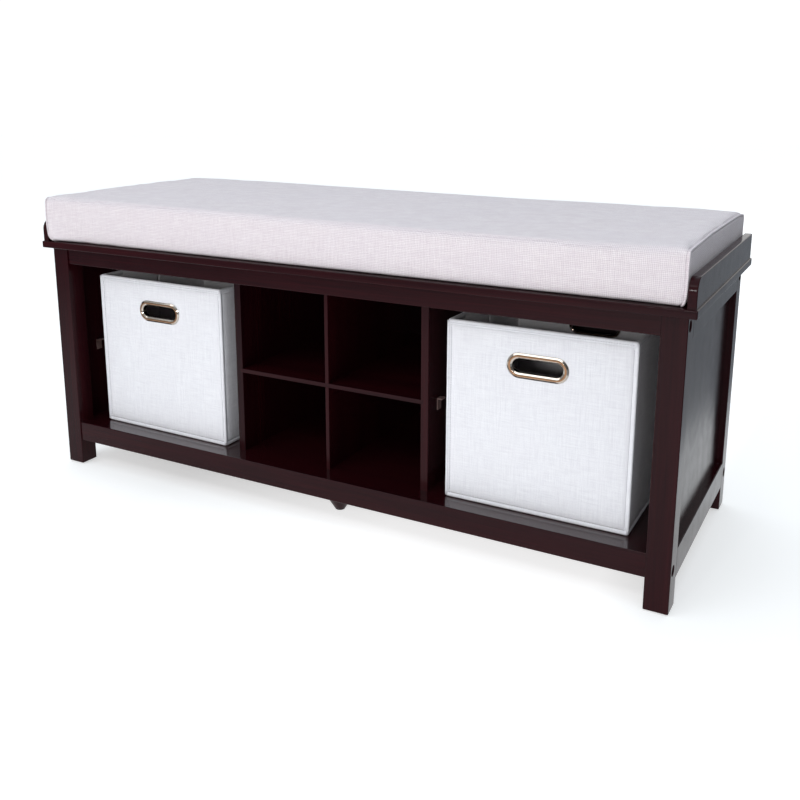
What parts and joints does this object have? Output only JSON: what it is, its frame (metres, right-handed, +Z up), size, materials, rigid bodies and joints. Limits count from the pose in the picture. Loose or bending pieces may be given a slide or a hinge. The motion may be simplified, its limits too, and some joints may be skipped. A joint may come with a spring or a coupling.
{
  "type": "storage bench",
  "caption": "Panelled wooden storage bench with a loose box cushion, low end rails, open cubbies in the middle and a pull-out fabric bin with metal-ringed hand slots in each side bay.",
  "frame": {"origin": "on the floor, under the middle of the seat board", "axes": "+X to the right end, +Y to the back, +Z up"},
  "size_m": [1.067, 0.402, 0.4648],
  "materials": {
    "dark_wood": "satin",
    "hardboard": "matte",
    "raw_wood": "matte",
    "steel": "satin",
    "black_steel": "satin",
    "glide_plastic": "matte",
    "peg_plastic": "satin",
    "cushion_fabric": "matte",
    "cushion_foam": "matte",
    "bin_fabric": "matte",
    "lining_fabric": "matte",
    "bin_board": "matte",
    "ring_metal": "polished"
  },
  "bodies": {
    "bench": {"seat_board": "dark_wood", "left_end_rail": "dark_wood", "right_end_rail": "dark_wood", "front_left_leg": "dark_wood", "front_right_leg": "dark_wood", "rear_left_leg": "dark_wood", "rear_right_leg": "dark_wood", "front_apron": "dark_wood", "rear_apron": "dark_wood", "front_lower_rail": "dark_wood", "rear_lower_rail": "dark_wood", "left_top_rail": "dark_wood", "right_top_rail": "dark_wood", "left_lower_rail": "dark_wood", "right_lower_rail": "dark_wood", "left_side_panel": "dark_wood", "right_side_panel": "dark_wood", "bottom_shelf": "dark_wood", "left_divider": "dark_wood", "right_divider": "dark_wood", "cubby_upright": "dark_wood", "cubby_shelf": "dark_wood", "back_panel": "hardboard", "left_board_batten": "dark_wood", "right_board_batten": "dark_wood", "front_centre_foot": "dark_wood", "rear_centre_foot": "dark_wood", "foot_bolts": "steel", "leg_glides": "glide_plastic", "foot_glides": "glide_plastic", "leg_bolts": "black_steel", "barrel_nuts": "steel", "side_frame_dowels": "raw_wood", "rail_dowels": "raw_wood", "shelf_dowels": "raw_wood", "divider_dowels": "raw_wood", "end_rail_dowels": "raw_wood", "batten_screws": "steel", "back_panel_screws": "steel", "shelf_pegs": "peg_plastic"},
    "cushion": {"cushion_cover": "cushion_fabric", "cushion_foam": "cushion_foam"},
    "left_bin": {"left_bin_cover": "bin_fabric", "left_bin_bottom": "bin_fabric", "left_bin_wall_boards": "bin_board", "left_bin_lining": "lining_fabric", "left_bin_rim_tape": "bin_fabric", "left_bin_rings": "ring_metal", "left_bin_back_rings": "ring_metal"},
    "left_bin_base": {"left_bin_base_board": "lining_fabric"},
    "right_bin": {"right_bin_cover": "bin_fabric", "right_bin_bottom": "bin_fabric", "right_bin_wall_boards": "bin_board", "right_bin_lining": "lining_fabric", "right_bin_rim_tape": "bin_fabric", "right_bin_rings": "ring_metal", "right_bin_back_rings": "ring_metal"},
    "right_bin_base": {"right_bin_base_board": "lining_fabric"}
  },
  "joints": [
    {"name": "cushion_lift", "type": "slide", "parent": "bench", "child": "cushion", "axis": [0, 0, 1], "range_m": [0, 0.3]},
    {"name": "left_bin_slide", "type": "slide", "parent": "bench", "child": "left_bin", "axis": [0, -1, 0], "range_m": [-0.055, 0.36]},
    {"name": "right_bin_slide", "type": "slide", "parent": "bench", "child": "right_bin", "axis": [0, -1, 0], "range_m": [-0.055, 0.36]},
    {"name": "left_bin_base_lift", "type": "slide", "parent": "left_bin", "child": "left_bin_base", "axis": [0, 0, 1], "range_m": [0, 0.27]},
    {"name": "right_bin_base_lift", "type": "slide", "parent": "right_bin", "child": "right_bin_base", "axis": [0, 0, 1], "range_m": [0, 0.27]}
  ]
}
